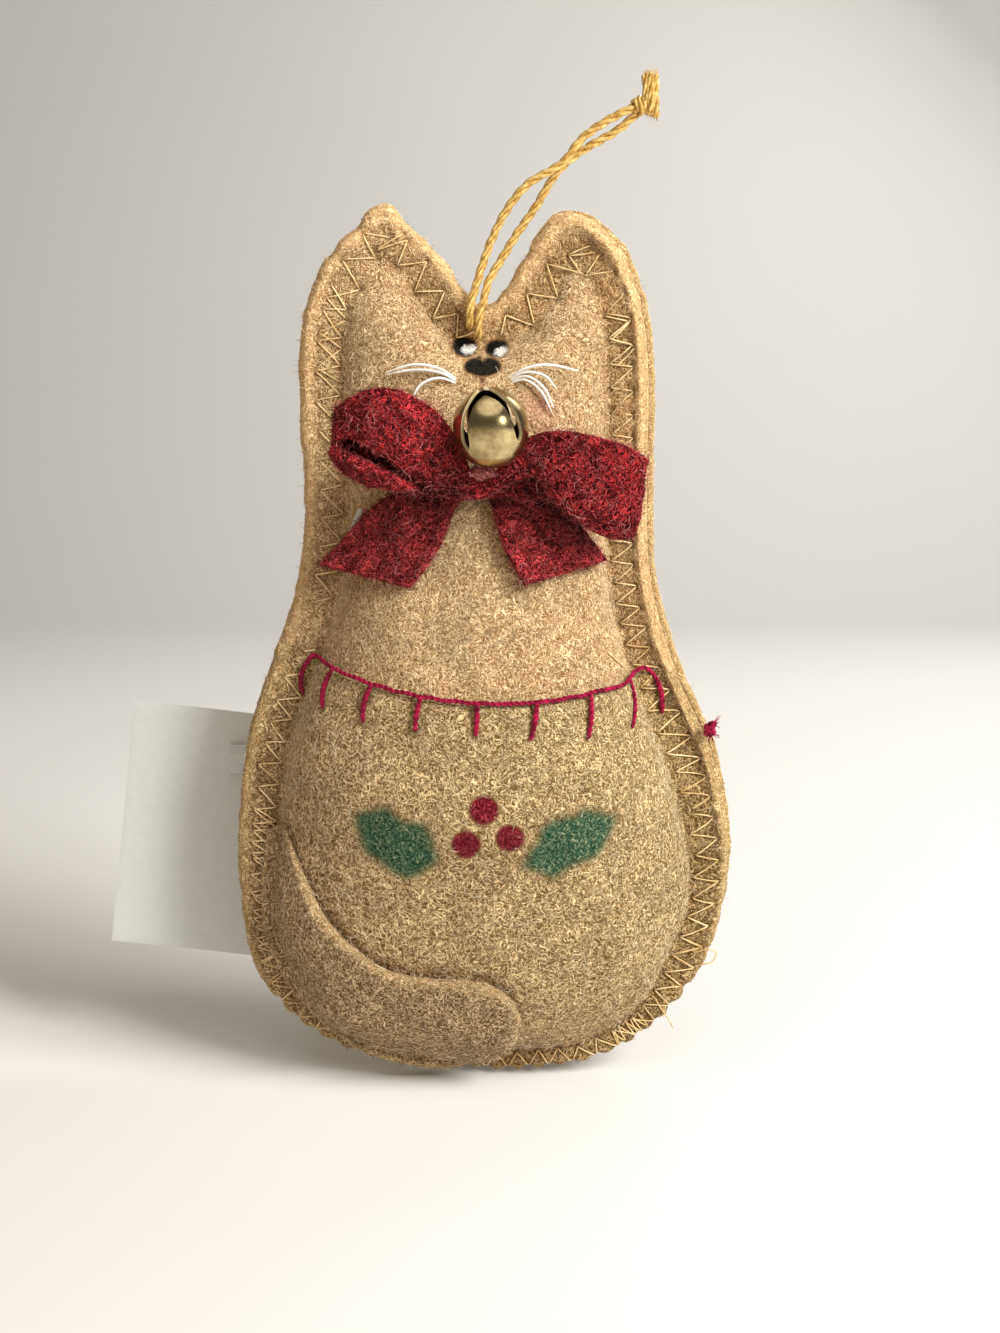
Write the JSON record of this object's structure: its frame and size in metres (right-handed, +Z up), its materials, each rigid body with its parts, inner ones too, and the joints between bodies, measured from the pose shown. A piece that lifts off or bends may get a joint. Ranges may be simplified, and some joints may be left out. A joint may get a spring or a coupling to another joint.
{
  "type": "felt ornament",
  "caption": "Stuffed felt cat hanging ornament with a stitched rim, belly panel, red felt bow, brass jingle bell, thread whiskers, metallic hanging cord and blank swing tag.",
  "frame": {"origin": "where the hanging cord meets the felt, just under the notch between the ears, in the plane between the front and back felt", "axes": "+Z up as the ornament hangs, -Y the way the cat faces, +X to the viewer's right of the face"},
  "size_m": [0.0943, 0.0375, 0.1441],
  "materials": {
    "tan_felt": "soft tan wool-blend felt",
    "sand_felt": "heathered sand felt",
    "red_felt": "heathered dark red felt",
    "batting": "white polyester fibre fill",
    "gold_thread": "golden tan sewing thread",
    "crimson_yarn": "twisted crimson embroidery yarn",
    "white_thread": "stiff white thread",
    "gold_cord": "twisted metallic gold cord",
    "brass": "polished antique brass",
    "steel": "plain steel pellet",
    "clear_glue": "clear set hot glue",
    "clear_plastic": "clear moulded nylon",
    "paper": "plain white card, no print"
  },
  "bodies": {
    "ornament": {"chest_panel": "tan_felt", "belly_panel": "sand_felt", "back_panel": "sand_felt", "stuffing": "batting", "seam_thread_front": "gold_thread", "seam_thread_back": "gold_thread", "blanket_stitch": "crimson_yarn", "stitch_knot": "crimson_yarn", "bow_tail_strip": "red_felt", "bow_loop_strip": "red_felt", "glue_pad": "clear_glue", "whisker_left_top": "white_thread", "whisker_left_middle": "white_thread", "whisker_left_low": "white_thread", "whisker_right_top": "white_thread", "whisker_right_upper": "white_thread", "whisker_right_lower": "white_thread", "whisker_right_low": "white_thread", "cord_strand_left": "gold_cord", "cord_strand_right": "gold_cord", "cord_knot": "gold_cord", "tag_fastener": "clear_plastic", "bell_shell": "brass"},
    "pellet": {"bell_pellet": "steel"},
    "tail_flap": {"tail": "sand_felt"},
    "tag": {"swing_tag": "paper"}
  },
  "joints": [
    {"name": "pellet_rattle", "type": "slide", "parent": "ornament", "child": "pellet", "axis": [0, -0.2756, 0.9613], "range_m": [0, 0.0054]},
    {"name": "tail_lift", "type": "hinge", "parent": "ornament", "child": "tail_flap", "pos_m": [-0.0278, -0.0066, -0.0736], "axis": [-1, 0, 0], "range_deg": [0, 60]},
    {"name": "tag_swing", "type": "hinge", "parent": "ornament", "child": "tag", "pos_m": [-0.0347, 0.01195, -0.0653], "axis": [0, 1, 0], "range_deg": [-45, 45]}
  ]
}
